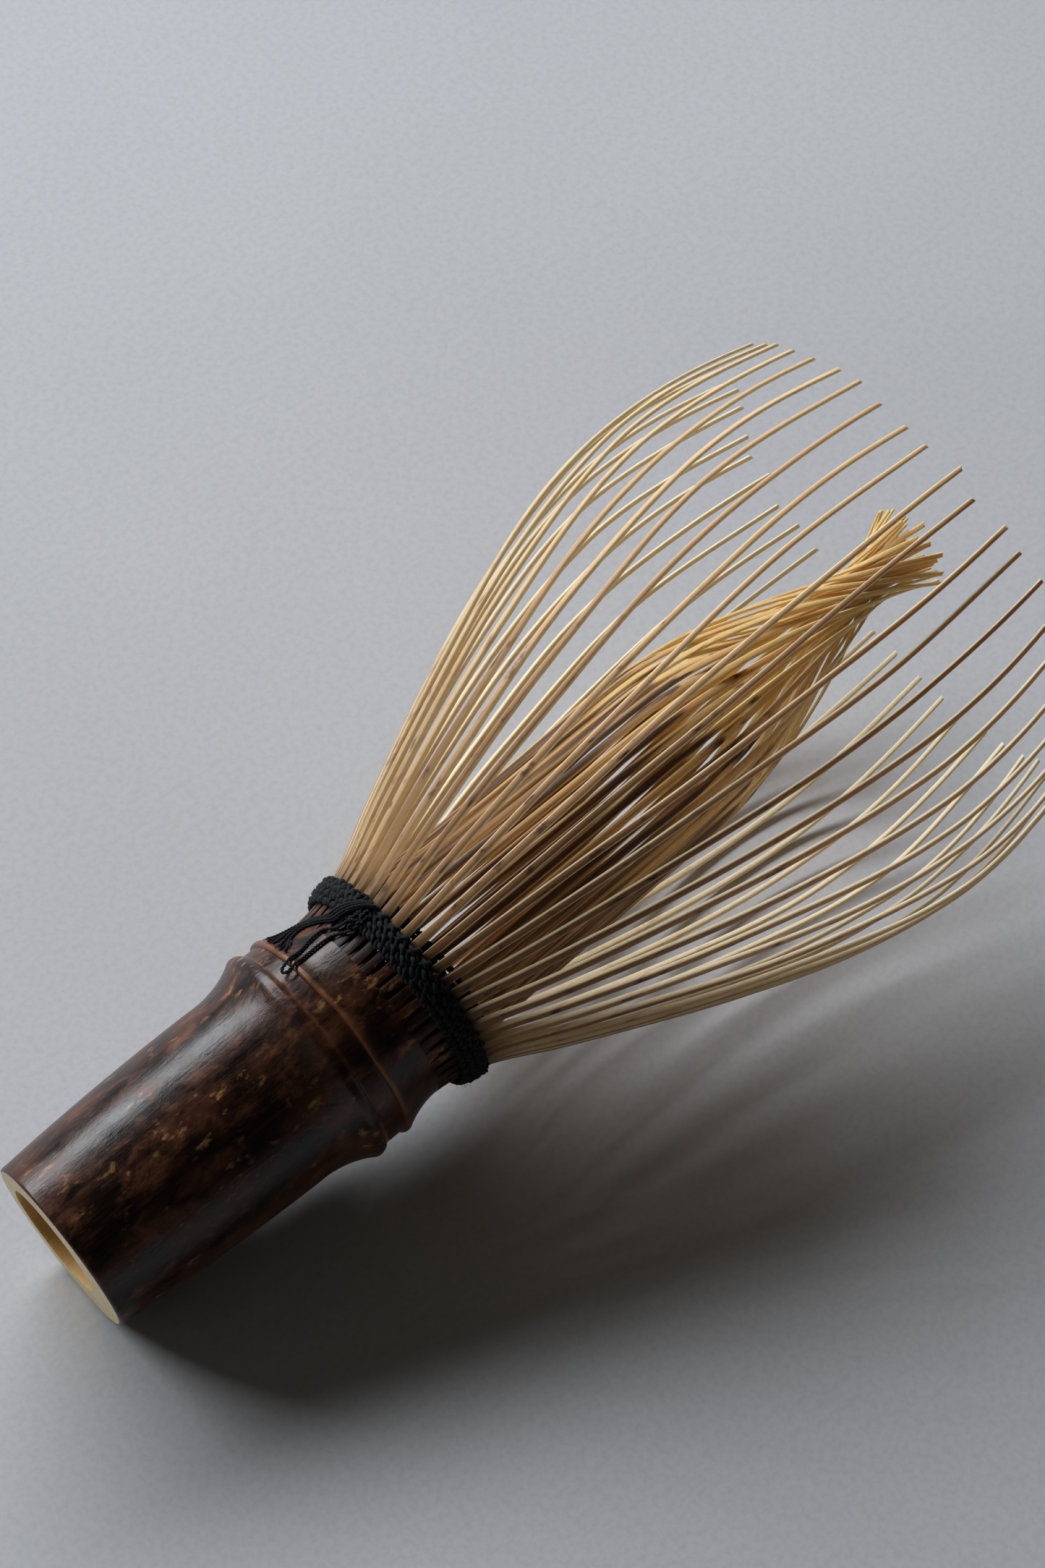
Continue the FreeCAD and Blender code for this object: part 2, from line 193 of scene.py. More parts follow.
def path_frames(path, closed=False):
    """Two directions square to the path, turning as little as they can along it."""
    if closed:
        tangent = unit(np.roll(path, -1, axis=0) - np.roll(path, 1, axis=0))
    else:
        tangent = unit(np.gradient(path, axis=0))
    normal = np.zeros_like(path)
    seed = np.array([0.0, 0.0, 1.0])
    if abs(tangent[0] @ seed) > 0.9:
        seed = np.array([1.0, 0.0, 0.0])
    current = np.cross(tangent[0], seed)
    for i, t in enumerate(tangent):
        current = current - t * (current @ t)
        current = current / np.linalg.norm(current)
        normal[i] = current
    return normal, np.cross(tangent, normal)


def tube(shape, path, radius, sides=7, closed=False):
    """A round strand along a path; radius is one number or one for each point."""
    normal, side = path_frames(path, closed)
    turn = np.linspace(0, 2 * math.pi, sides, endpoint=False)
    radius = np.broadcast_to(np.asarray(radius, dtype=float), (len(path),))
    ring = (normal[:, None, :] * np.cos(turn)[None, :, None]
            + side[:, None, :] * np.sin(turn)[None, :, None])
    verts = (path[:, None, :] + ring * radius[:, None, None]).reshape(-1, 3)
    faces = grid_faces(len(path), sides, closed)
    if not closed:
        faces += end_caps(len(path), sides)
    shape.add(verts, faces)


def cord(shape, path, radius, lay, closed=False, phase=0.0):
    """Twisted cord: two plies wound round the path, one turn every `lay` millimetres."""
    step = np.linalg.norm(np.diff(path, axis=0), axis=1)
    travelled = np.concatenate([[0.0], np.cumsum(step)])
    turns = travelled / lay
    if closed:
        whole = (travelled[-1] + np.linalg.norm(path[0] - path[-1]))
        turns = travelled / whole * round(whole / lay)
    normal, side = path_frames(path, closed)
    if closed:
        drift = normal[-1] @ side[0]
        turns = turns - turns / turns[-1] * math.asin(max(-1, min(1, drift))) / (2 * math.pi)
    offset = radius * PLY_OFFSET
    for ply in range(PLIES):
        angle = 2 * math.pi * (turns + ply / PLIES) + phase
        shifted = path + (normal * np.cos(angle)[:, None]
                          + side * np.sin(angle)[:, None]) * offset
        tube(shape, shifted, radius * PLY_RADIUS, closed=closed)


def polar(degrees, radius, s):
    """Points from angle in degrees, radius and height."""
    phi = np.radians(degrees)
    return np.stack([radius * np.cos(phi), radius * np.sin(phi), s + 0 * phi], axis=-1)


# ---- node graphs ----

# A colour Mix node's own sockets among those of its other data types
MIX_FACTOR, MIX_A, MIX_B, MIX_RESULT = 0, 6, 7, 2


class Graph:
    """Short calls for a material's nodes."""

    def __init__(self, name):
        self.material = bpy.data.materials.new(name)
        self.material.use_nodes = True
        self.tree = self.material.node_tree
        self.bsdf = self.tree.nodes["Principled BSDF"]

    def node(self, kind, **settings):
        node = self.tree.nodes.new(kind)
        for key, value in settings.items():
            setattr(node, key, value)
        return node

    def put(self, socket, value):
        """Feeds a socket from another node, or sets it when value is a plain number or colour."""
        if hasattr(value, "is_linked"):
            self.tree.links.new(value, socket)
        else:
            socket.default_value = value

    def local(self, stretch=(1.0, 1.0, 1.0)):
        """Position in centimetres along the whisk's own axes, stretched."""
        coords = self.node("ShaderNodeTexCoord").outputs["Object"]
        lay = self.node("ShaderNodeMapping", vector_type="TEXTURE")
        self.put(lay.inputs["Vector"], coords)
        lay.inputs["Location"].default_value = tuple(LAY_BASE * MM)
        lay.inputs["Rotation"].default_value = (0.0, LAY_TURN, 0.0)
        lay.inputs["Scale"].default_value = (CM, CM, CM)
        scale = self.node("ShaderNodeMapping", vector_type="POINT")
        self.put(scale.inputs["Vector"], lay.outputs["Vector"])
        scale.inputs["Scale"].default_value = stretch
        return scale.outputs["Vector"]

    def noise(self, vector, scale, detail=3.0, rough=0.5, warp=0.0):
        node = self.node("ShaderNodeTexNoise")
        self.put(node.inputs["Vector"], vector)
        node.inputs["Scale"].default_value = scale
        node.inputs["Detail"].default_value = detail
        node.inputs["Roughness"].default_value = rough
        node.inputs["Distortion"].default_value = warp
        return node.outputs["Fac"]

    def attribute(self, name):
        return self.node("ShaderNodeAttribute", attribute_name=name).outputs["Fac"]

    def remap(self, value, low, high, to_low=0.0, to_high=1.0, soft=True):
        """Stretches low to high over to_low to to_high, and holds the ends."""
        node = self.node("ShaderNodeMapRange")
        node.interpolation_type = "SMOOTHSTEP" if soft else "LINEAR"
        self.put(node.inputs["Value"], value)
        for key, number in (("From Min", low), ("From Max", high),
                            ("To Min", to_low), ("To Max", to_high)):
            node.inputs[key].default_value = number
        return node.outputs["Result"]

    def math(self, operation, a, b):
        node = self.node("ShaderNodeMath", operation=operation)
        self.put(node.inputs[0], a)
        self.put(node.inputs[1], b)
        return node.outputs[0]

    def mix(self, factor, a, b):
        """Colour a where factor is 0, colour b where it is 1."""
        node = self.node("ShaderNodeMix", data_type="RGBA")
        self.put(node.inputs[MIX_FACTOR], factor)
        self.put(node.inputs[MIX_A], (*a, 1.0) if isinstance(a, tuple) else a)
        self.put(node.inputs[MIX_B], (*b, 1.0) if isinstance(b, tuple) else b)
        return node.outputs[MIX_RESULT]

    def finish(self, color, rough, bumps=(), **sockets):
        """Wires up the shader.  bumps rows: height, strength, distance in metres."""
        self.put(self.bsdf.inputs["Base Color"], color)
        self.put(self.bsdf.inputs["Roughness"], rough)
        for key, value in sockets.items():
            self.bsdf.inputs[key.replace("_", " ")].default_value = value
        previous = None
        for height, strength, distance in bumps:
            bump = self.node("ShaderNodeBump")
            bump.inputs["Strength"].default_value = strength
            bump.inputs["Distance"].default_value = distance
            self.put(bump.inputs["Height"], height)
            if previous is not None:
                self.put(bump.inputs["Normal"], previous)
            previous = bump.outputs["Normal"]
        if previous is not None:
            self.put(self.bsdf.inputs["Normal"], previous)
        return self.material


# ---- materials ----

SOOT = (0.005, 0.0013, 0.0009)
NEAR_BLACK = (0.009, 0.0022, 0.0012)
DARK_BROWN = (0.066, 0.020, 0.0085)
RED_BROWN = (0.150, 0.052, 0.019)
FLECK_TAN = (0.44, 0.22, 0.085)
FIBRE_BROWN = (0.16, 0.08, 0.038)
# also the colour of the painted highlight line along the node's shoulder
RUBBED_ORANGE_AND_HIGHLIGHT = (0.25, 0.090, 0.033)
CREAMS = (0.76, 0.61, 0.36), (0.88, 0.75, 0.49)
PORE_BROWN = (0.45, 0.29, 0.13)
OCHRES = (0.62, 0.36, 0.11), (0.78, 0.50, 0.19)
GROOVE_BROWN = (0.40, 0.19, 0.05)
GRAIN_BROWN = (0.36, 0.17, 0.055)
BLACKS = (0.003, 0.0035, 0.005), (0.008, 0.009, 0.012)
# painted sheen on the black cotton
SHEEN_GREY = (0.020, 0.022, 0.028)
TABLE_GREYS = (0.585, 0.592, 0.612), (0.625, 0.632, 0.652)
SPECK_GREY = (0.36, 0.36, 0.37)


def smoked_color(g):
    """Smoked skin: near-black brown with redder clouds and clusters of small tan flecks."""
    broad = g.noise(g.local((1.0, 1.0, 0.5)), 1.2, 2.0)
    cloud = g.noise(g.local((1.0, 1.0, 0.5)), 4.5, 4.0, 0.65, 0.3)
    fibre = g.noise(g.local((10.0, 10.0, 0.3)), 3.0, 3.0, 0.6)
    fleck = g.noise(g.local((1.0, 1.0, 0.5)), 8.5, 3.0, 0.6, 0.3)
    patch = g.noise(g.local((1.0, 1.0, 0.7)), 1.9, 2.0)
    color = g.mix(g.remap(broad, 0.38, 0.62), NEAR_BLACK, DARK_BROWN)
    color = g.mix(g.remap(cloud, 0.50, 0.74), color, RED_BROWN)
    color = g.mix(g.remap(cloud, 0.49, 0.35), color, SOOT)
    spots = g.math("MULTIPLY", g.remap(fleck, 0.56, 0.74), g.remap(patch, 0.46, 0.62))
    color = g.mix(spots, color, FLECK_TAN)
    color = g.mix(g.remap(fibre, 0.45, 0.80, 0.0, 0.22), color, FIBRE_BROWN)
    return color, cloud, fibre


def culm_skin():
    """The polished skin of the culm, rubbed to orange brown along the node's lip, with a weaker
    painted highlight line in that colour along the shoulder below it.
    """
    g = Graph("smoked_culm")
    color, cloud, fibre = smoked_color(g)
    # orange where the lip is rubbed; along the shoulder it is a painted highlight
    rub_and_highlight = g.math("MULTIPLY", g.attribute("worn"), g.remap(cloud, 0.30, 0.60, 0.35, 1.0))
    color = g.mix(rub_and_highlight, color, RUBBED_ORANGE_AND_HIGHLIGHT)
    rough = g.remap(cloud, 0.3, 0.7, 0.27, 0.40)
    return g.finish(color, rough,
                    [(fibre, 0.10, 0.0002), (cloud, 0.14, 0.0006)],
                    Specular_IOR_Level=0.40, Coat_Weight=0.05, Coat_Roughness=0.16)


def cut_bamboo():
    """The sawn end: pale, with the dark dots of fibre bundles crowding towards the skin."""
    g = Graph("cut_bamboo")
    dots = g.node("ShaderNodeTexVoronoi", feature="F1")
    g.put(dots.inputs["Vector"], g.local((1.0, 1.0, 0.05)))
    dots.inputs["Scale"].default_value = 17.0
    pores = g.remap(dots.outputs["Distance"], 0.12, 0.30, 1.0, 0.0)
    pale = g.noise(g.local(), 5.0, 3.0)
    color = g.mix(g.remap(pale, 0.3, 0.7), *CREAMS)
    color = g.mix(g.math("MULTIPLY", pores, 0.40), color, PORE_BROWN)
    return g.finish(color, 0.62, [(pores, 0.25, 0.0001)], Specular_IOR_Level=0.3)


def bore_wall():
    """Inside of the culm: ochre, with long grooves."""
    g = Graph("culm_hollow")
    grain = g.noise(g.local((7.0, 7.0, 0.3)), 2.4, 4.0, 0.6)
    cloud = g.noise(g.local(), 2.2, 2.0)
    color = g.mix(g.remap(cloud, 0.3, 0.7), *OCHRES)
    color = g.mix(g.remap(grain, 0.5, 0.8, 0.0, 0.5), color, GROOVE_BROWN)
    return g.finish(color, 0.55, [(grain, 0.35, 0.0002)], Specular_IOR_Level=0.35)


def tine_wood(name, skin, cut, stain, on_skin, on_cut, spread, fade, glow):
    """Split bamboo: skin outside, paler cut sides, and smoked stain up to the height `fade`.

    skin and cut are pairs of colours, low down and near the tip.  stain is a colour, on_skin and
    on_cut its strength on either, and spread how much of the tine it covers.  glow is how much
    light seeps through.
    """
    g = Graph(name)
    tone, side, height = g.attribute("tone"), g.attribute("side"), g.attribute("height")
    grain = g.noise(g.local((16.0, 16.0, 0.35)), 2.6, 3.0, 0.6)
    blotch = g.noise(g.local((6.0, 6.0, 0.13)), 1.6, 3.0, 0.55, 0.1)
    ends = g.noise(g.local((7.0, 7.0, 0.2)), 1.5, 1.0)
    up = g.math("ADD", g.remap(height, 50.0, 98.0), g.remap(tone, 0.0, 1.0, -0.45, 0.45, False))
    skin_color = g.mix(up, skin[0], skin[1])
    cut_color = g.mix(up, cut[0], cut[1])
    reach = g.math("ADD", height, g.remap(ends, 0.3, 0.7, -9.0, 9.0))
    lower = g.remap(reach, fade - 5.0, fade + 4.0, 1.0, 0.0)
    smoked = g.math("MULTIPLY", lower, g.remap(blotch, 0.54 - spread, 0.72 - spread))
    skin_color = g.mix(g.math("MULTIPLY", smoked, on_skin), skin_color, stain)
    cut_color = g.mix(g.math("MULTIPLY", smoked, on_cut), cut_color, stain)
    color = g.mix(g.remap(side, 0.1, 0.6, soft=False), skin_color, cut_color)
    color = g.mix(g.remap(grain, 0.50, 0.8, 0.0, 0.32), color, GRAIN_BROWN)
    root, _, _ = smoked_color(g)        # the slit part of the culm still has its smoked skin
    color = g.mix(g.remap(height, 44.0, 52.0, 1.0, 0.0), color, root)
    return g.finish(color, g.remap(side, 0.0, 1.0, 0.46, 0.65, False),
                    [(grain, 0.22, 0.0001)], Specular_IOR_Level=0.28,
                    Subsurface_Weight=glow, Subsurface_Radius=(1.0, 0.80, 0.55),
                    Subsurface_Scale=0.0008)


def black_thread():
    """Black cotton: matt, fuzzy, a little grey where the plies catch the light."""
    g = Graph("black_cotton")
    fuzz_and_sheen = g.noise(g.local(), 42.0, 3.0, 0.7)
    shade = g.noise(g.local(), 6.0, 2.0)
    color = g.mix(g.remap(shade, 0.3, 0.7), *BLACKS)
    # painted sheen: grey mixed in at random over the fuzz, standing for plies catching the light
    color = g.mix(g.remap(fuzz_and_sheen, 0.5, 0.8, 0.0, 0.5), color, SHEEN_GREY)
    return g.finish(color, 0.80, [(fuzz_and_sheen, 0.5, 0.0001)],
                    Specular_IOR_Level=0.25, Sheen_Weight=0.08, Sheen_Roughness=0.5)


SKIN = culm_skin()
CUT = cut_bamboo()
HOLLOW = bore_wall()
OUTER_WOOD = tine_wood(
    "outer_tine_bamboo",
    skin=((0.35, 0.180, 0.070), (0.95, 0.62, 0.33)), cut=((0.94, 0.76, 0.50), (0.98, 0.80, 0.57)),
    stain=(0.090, 0.026, 0.011), on_skin=0.90, on_cut=0.25, spread=-0.01, fade=86.0, glow=0.40)
INNER_WOOD = tine_wood(
    "inner_tine_bamboo",
    skin=((0.44, 0.225, 0.085), (0.98, 0.60, 0.23)), cut=((0.86, 0.61, 0.33), (0.98, 0.71, 0.36)),
    stain=(0.062, 0.020, 0.009), on_skin=0.97, on_cut=0.66, spread=0.15, fade=88.0, glow=0.55)
THREAD = black_thread()


# ---- culm ----

CULM_MATERIALS = [SKIN, CUT, HOLLOW]
ON_SKIN, ON_CUT, ON_HOLLOW = 0, 1, 2    # their places in that list


def culm_rings(profile, sides, wavy, shift):
    """Rings of a turned culm.  profile rows: radius, height.  A natural node isn't quite level.

    wavy is how uneven the rings are, from 0 to 1; shift says how far each ring is moved from the
    culm's axis towards that of its hollow.
    """
    turn = np.linspace(0, 2 * math.pi, sides, endpoint=False)
    verts = []
    for (radius, s), off in zip(profile, np.broadcast_to(shift, (len(profile),))):
        near = math.exp(-((s - 35.2) / 2.2) ** 2) * wavy
        rise = near * (0.17 * np.sin(turn * 2 + 0.9) + 0.09 * np.sin(turn * 5 + 2.0)
                       + 0.05 * np.sin(turn * 9 + 0.4))
        swell = (1.0 + wavy * (0.0028 * np.sin(turn * 2 + 2.2)
                               + 0.0016 * np.sin(turn * 3 + s * 0.06)
                               + near * 0.003 * np.sin(turn * 7 + 1.0)))
        ring = np.stack([radius * swell * np.cos(turn) + off * HOLLOW_X,
                         radius * swell * np.sin(turn) + off * HOLLOW_Y, s + rise], axis=1)
        below = float(1.0 - smooth(34.3, 35.7, s))
        bend = BEND * below
        y, z = ring[:, 1].copy(), ring[:, 2] - NODE_S
        ring[:, 1] = y * math.cos(bend) - z * math.sin(bend)
        ring[:, 2] = y * math.sin(bend) + z * math.cos(bend) + NODE_S
        verts.append(ring)
    return np.concatenate(verts)


def arc(start, end, radius, bulge, steps):
    """Points of an arc between two profile points, as (radius, height) rows.

    bulge is 1 where the culm is convex and -1 where it is hollowed.
    """
    start, end = np.array(start), np.array(end)
    chord = end - start
    half = np.linalg.norm(chord) / 2.0
    side = np.array([chord[1], -chord[0]]) / (2.0 * half)
    centre = (start + end) / 2.0 - side * (bulge * math.sqrt(radius**2 - half**2))
    a0 = math.atan2(*(start - centre)[::-1])
    a1 = math.atan2(*(end - centre)[::-1])
    if bulge > 0 and a1 < a0:
        a1 += 2 * math.pi
    if bulge < 0 and a1 > a0:
        a1 -= 2 * math.pi
    turn = np.linspace(a0, a1, steps)
    return [(centre[0] + radius * math.cos(a), centre[1] + radius * math.sin(a)) for a in turn]


def even(start, end, steps):
    """Evenly spaced profile points on a straight line."""
    return [tuple(p) for p in np.linspace(start, end, steps)]


def worn_lip_and_lit_shoulder(profile):
    """How far each ring's skin is painted orange: rubbed pale along the lip of the node, and a
    weaker painted highlight line along its shoulder.
    """
    out = []
    for radius, s in profile:
        lip = math.exp(-((s - LIP_S) / 0.30) ** 2)
        # painted highlight: a light line along the shoulder's ridge, where it catches the light
        lit_shoulder = 0.30 * math.exp(-((s - SHOULDER_S) / 0.22) ** 2)
        out.append(min(1.0, lip + lit_shoulder))
    return out


def skin_part(shape, profile, sides, slot, worn=0.0, wavy=1.0, shift=0.0):
    """Adds one turned surface; slot is its material's place in the list."""
    wear_and_highlight_values = np.repeat(np.broadcast_to(worn, (len(profile),)), sides)
    shape.add(culm_rings(profile, sides, wavy, shift), grid_faces(len(profile), sides),
              slot=slot, worn=wear_and_highlight_values)


def make_handle():
    sides = 160
    outside = (even((END_RADIUS, 0.0), (10.28, 0.10), 3)
               + even((10.35, 0.32), (10.36, 0.5), 2)
               + arc((10.37, 0.8), (11.40, 26.0), 320.0, 1, 40)
               + arc((11.40, 26.0), (13.05, 32.6), 11.5, -1, 22)[1:]
               + arc((13.05, 32.6), (12.65, 34.0), 1.20, 1, 14)[1:]
               + even((12.60, 34.08), (GROOVE_RADIUS, 34.3), 3)
               + even((GROOVE_RADIUS, 34.5), (GROOVE_RADIUS, NODE_S), 3))
    shape = Shape()
    skin_part(shape, outside, sides, ON_SKIN, worn_lip_and_lit_shoulder(outside))
    skin_part(shape, even((MOUTH_RADIUS, 0.0), (END_RADIUS, 0.0), 8), sides, ON_CUT,
              shift=np.linspace(1, 0, 8))
    skin_part(shape, even((HOLLOW_RADIUS, NODE_S), (HOLLOW_RADIUS, 0.40), 24)
              + [(6.53, 0.16), (MOUTH_RADIUS, 0.0)], sides, ON_HOLLOW, shift=1.0)
    skin_part(shape, even((GROOVE_RADIUS, NODE_S), (HOLLOW_RADIUS, NODE_S), 4), sides, ON_HOLLOW,
              shift=np.linspace(0, 1, 4))
    shape.build("handle_look", CULM_MATERIALS, ["handle_culm"], sharp=50)


def make_collar():
    sides = 192
    outside = (even((GROOVE_RADIUS, NODE_S), (GROOVE_RADIUS, 36.0), 5)
               + arc((12.52, 36.12), HIGH_RIDGE, 0.50, 1, 9)
               + arc(HIGH_RIDGE, (SPLIT_RADIUS, SPLIT_S), 9.5, -1, 26)[1:])
    shape = Shape()
    skin_part(shape, outside, sides, ON_SKIN, worn_lip_and_lit_shoulder(outside))
    for start, end, steps, slot in (
            ((SPLIT_RADIUS, SPLIT_S), (COLLAR_BORE, SPLIT_S), 5, ON_CUT),
            ((COLLAR_BORE, SPLIT_S), (COLLAR_BORE, NODE_S), 8, ON_HOLLOW),
            ((COLLAR_BORE, NODE_S), (GROOVE_RADIUS, NODE_S), 4, ON_HOLLOW)):
        skin_part(shape, even(start, end, steps), sides, slot)
    shape.build("collar_look", CULM_MATERIALS, ["collar"], sharp=50)


def make_diaphragm():
    """The wall across the node: a shallow dish with a thick rim."""
    sides = 96
    reach = np.linspace(0, 8.9, 14)
    below = [(0.05 + r, NODE_S + 0.03 + 0.35 * (r / COLLAR_BORE) ** 2) for r in reach]
    above = [(8.95 - r, NODE_S + 1.45 - 0.3 * (r / COLLAR_BORE) ** 0.5) for r in reach]
    profile = [(r, min(s, NODE_S + 1.49)) for r, s in below + above]
    shape = Shape()
    skin_part(shape, profile, sides, 0, wavy=0.0)
    shape.faces += end_caps(len(profile), sides)
    shape.slots += [0, 0]
    shape.build("diaphragm_look", [HOLLOW], ["node_diaphragm"], sharp=50)


# ---- tines ----

# A tine's section, clockwise from its skin face: corner (across, out), direction in degrees, and
# how much of a cut side the point belongs to.
SECTION = [(1, 1, 82, 0.0), (1, 1, 45, 0.45), (1, 1, 8, 1.0),
           (1, -1, -8, 1.0), (1, -1, -45, 1.0), (1, -1, -82, 0.9),
           (-1, -1, -98, 0.9), (-1, -1, -135, 1.0), (-1, -1, -172, 1.0),
           (-1, 1, 172, 1.0), (-1, 1, 135, 0.45), (-1, 1, 98, 0.0)]


def blade(shape, path, outward, width, thick, tone, heights, slant):
    """One tine: a strip with rounded corners and a slanting cut tip.

    tone is the tine's own shade, from 0 to 1; slant leans the cut sideways and outwards.
    """
    tangent = unit(np.gradient(path, axis=0))
    across = unit(np.cross(tangent, outward))
    out = unit(np.cross(across, tangent))
    ease = np.minimum(0.03 + 0.17 * smooth(44, 54, heights), thick * 0.38)     # corner radius
    rings = []
    for a, b, degrees, _ in SECTION:
        turn = math.radians(degrees)
        wide = a * (width / 2.0 - ease) + ease * math.cos(turn)
        high = b * (thick / 2.0 - ease) + ease * math.sin(turn)
        rings.append(path + across * wide[:, None] + out * high[:, None])
    verts = np.stack(rings, axis=1)
    tip = verts[-1]
    lean = (tip - tip.mean(axis=0)) @ (across[-1] * slant[0] + out[-1] * slant[1])
    verts[-1] = tip + tangent[-1] * lean[:, None]
    sides = len(SECTION)
    faces = grid_faces(len(path), sides) + end_caps(len(path), sides)
    shape.add(verts.reshape(-1, 3), faces, tone=tone, height=np.repeat(heights, sides),
              side=np.tile([row[3] for row in SECTION], len(path)))


def taper(root, tip, s):
    """A tine is shaved thin: it loses most of its width and thickness early on."""
    return root + (tip - root) * (np.maximum(s - SPLIT_S, 0.0) / (TIP_S - SPLIT_S)) ** 0.65


def radial(phi):
    """Unit vectors pointing out from the axis."""
    return np.stack([np.cos(phi), np.sin(phi), np.zeros_like(phi)], axis=1)


def outer_tine(shape, i):
    """A tine of the open cage.  The two that rest on the table keep to their line exactly."""
    level = 0.0 if i in (0, TINES - 1) else 1.0
    foot = (i + 0.5) * PITCH
    angle = foot + math.radians(level * uneven(i, 1))
    swing = level * (-0.30 + 0.35 * uneven(i, 2))
    tip = TIP_S + level * 0.7 * uneven(i, 3)
    s = np.concatenate([np.linspace(SPLIT_S, 56, 16), np.linspace(57.5, tip, 42)])
    phi = foot + (angle - foot) * smooth(SPLIT_S + 4, 100, s)
    thick = taper(0.86, 0.40, s)
    radius = along(OUTER_LINE, s) - thick / 2.0 + swing * smooth(SPLIT_S + 8, 105, s)
    wobble = level * 0.10 * smooth(52, 80, s)
    radius = radius + wobble * np.sin(s * 0.21 + i * 1.7)
    outward = radial(phi)
    drift = radial(phi + math.pi / 2) * (wobble * np.sin(s * 0.17 + i * 2.3))[:, None]
    path = outward * radius[:, None] + drift
    path[:, 2] = s
    width = taper(1.06, 0.58, s) * (1.0 + 0.06 * uneven(i, 6))
    tone = 0.5 + 0.5 * uneven(i, 7)
    blade(shape, path, outward, width, thick, tone, s,
          (0.5 * uneven(i, 8), -0.7 + 0.3 * uneven(i, 9)))


def inner_tine(shape, i):
    """A tine of the inner bundle, drawn together in four layers that cross at the pinch."""
    layer = DRAWN_IN[i % len(DRAWN_IN)]
    foot = i * PITCH
    tip = INNER_TIP_S + 0.9 * uneven(i, 4)
    s = np.concatenate([np.linspace(SPLIT_S, 50, 10), np.linspace(52, 96, 24),
                        np.linspace(97.2, tip, 26)])
    twist = (np.arctan(TWIST_RATE * (s - PINCH_S))
             + math.atan(TWIST_RATE * (PINCH_S - SPLIT_S)))
    phi = foot + twist + math.radians(2.2) * uneven(i, 10) * smooth(60, 104, s)
    drawn_in = smooth(86, 110, s)
    thick = taper(0.80, 0.26, s)
    radius = along(INNER_LINE, s) * (1.0 - drawn_in * (1.0 - layer)) - thick / 2.0
    radius = radius + 0.16 * uneven(i, 11) * smooth(52, 80, s) * (1 - smooth(98, 108, s))
    lean = GATHER_LEAN * smooth(56, 112, s)
    outward = radial(phi)
    path = outward * radius[:, None]
    path[:, 0] -= 0.4 * lean
    path[:, 1] += 0.9 * lean
    path[:, 2] = s
    width = 0.42 + 0.53 * smooth(46, 56, s) - 0.35 * smooth(86, 112, s)
    tone = 0.5 + 0.5 * uneven(i, 12)
    blade(shape, path, outward, width, thick, tone, s,
          (0.6 * uneven(i, 13), 0.4 * uneven(i, 14)))


def make_tines():
    """The two layers, three tines to a piece."""
    for group in range(TINES // TINES_PER_NODE):
        for title, make, wood, slot in (("outer", outer_tine, OUTER_WOOD, "outer_tines"),
                                        ("inner", inner_tine, INNER_WOOD, "inner_tines")):
            shape = Shape()
            for k in range(TINES_PER_NODE):
                make(shape, group * TINES_PER_NODE + k)
            name = "%s_tines_%02d" % (title, group + 1)
            shape.build(name + "_look", [wood], [name], sharp=50)


# ---- thread ----

# Rows of cord round the tines: height, radius, thickness.  Two or three rows stand for a turn.
TURN_ROWS = [(44.45, 12.52, 0.42), (44.85, 12.42, 0.36), (45.20, 12.84, 0.43),
             (45.60, 12.62, 0.36), (45.95, 13.02, 0.43), (46.35, 12.80, 0.36),
             (46.66, 13.06, 0.40)]
WEAVE_ROWS = [(47.3, 11.45), (48.05, 11.5), (48.8, 11.55)]      # height and radius
ROUND_POINTS = 1200
CORD_SWELL = 0.10                       # how far a row bulges over each tine
HAIRS, HAIR_RADIUS = 170, 13.15         # fibres to a turn, and where they start


def round_path(radius, s, phase):
    """A turn of cord that swells outwards over the tines and dips between them."""
    phi = np.linspace(0, 360.0, ROUND_POINTS, endpoint=False)
    beat = np.sin(np.radians(phi * TINES) + phase)
    slow = np.sin(np.radians(phi * 3) + phase * 2.1)
    return polar(phi, radius + CORD_SWELL * beat + 0.03 * slow, s + 0.05 * slow + 0.06 * beat)


def make_turns():
    for turn, members in ((1, TURN_ROWS[:2]), (2, TURN_ROWS[2:4]), (3, TURN_ROWS[4:])):
        shape = Shape()
        for s, radius, thick in members:
            k = TURN_ROWS.index((s, radius, thick))
            cord(shape, round_path(radius, s, k * math.pi / 2.0), thick,
                 1.30 + 0.13 * k, closed=True, phase=k * 1.3)
        if turn == 3:
            for i in range(TINES):
                top_stitch(shape, i)
        for k in range(HAIRS):
            hair(shape, k + 200 * turn, members[0][0])
        shape.build("thread_turn_%d_look" % turn, [THREAD], ["thread_turn_%d" % turn])


def hair(shape, k, s):
    """One loose cotton fibre standing off the turns."""
    phi = 180.0 + 180.0 * uneven(k, 50)
    s = s + 0.5 + 0.7 * uneven(k, 51)
    drift, length = 3.0 * uneven(k, 52), 0.45 + 0.35 * uneven(k, 53)
    stand = np.array([0.0, 0.10, 0.22, 0.26]) * (1.0 + 0.8 * uneven(k, 54))
    u = np.array([0.0, 0.33, 0.66, 1.0])
    path = polar(phi + drift * u, HAIR_RADIUS + stand, s + length * u * uneven(k, 55))
    tube(shape, path, [0.016, 0.015, 0.012, 0.008], 3)


def top_stitch(shape, i):
    """The cord passing between two outer tines on its way to the weave inside."""
    phi = math.degrees(i * PITCH) + 0.5 * uneven(i, 20)
    lift = 0.12 * uneven(i, 21)
    rows = ((-3.6, 13.06, 46.30 - lift), (-1.6, 13.26, 46.90 + lift),
            (0.0, 12.80, 47.06 + lift), (0.3, 11.90, 46.90))
    points = np.array([polar(phi + turn, radius, s) for turn, radius, s in rows])
    cord(shape, spline(points, 8), 0.31 + 0.05 * uneven(i, 22), 1.2)


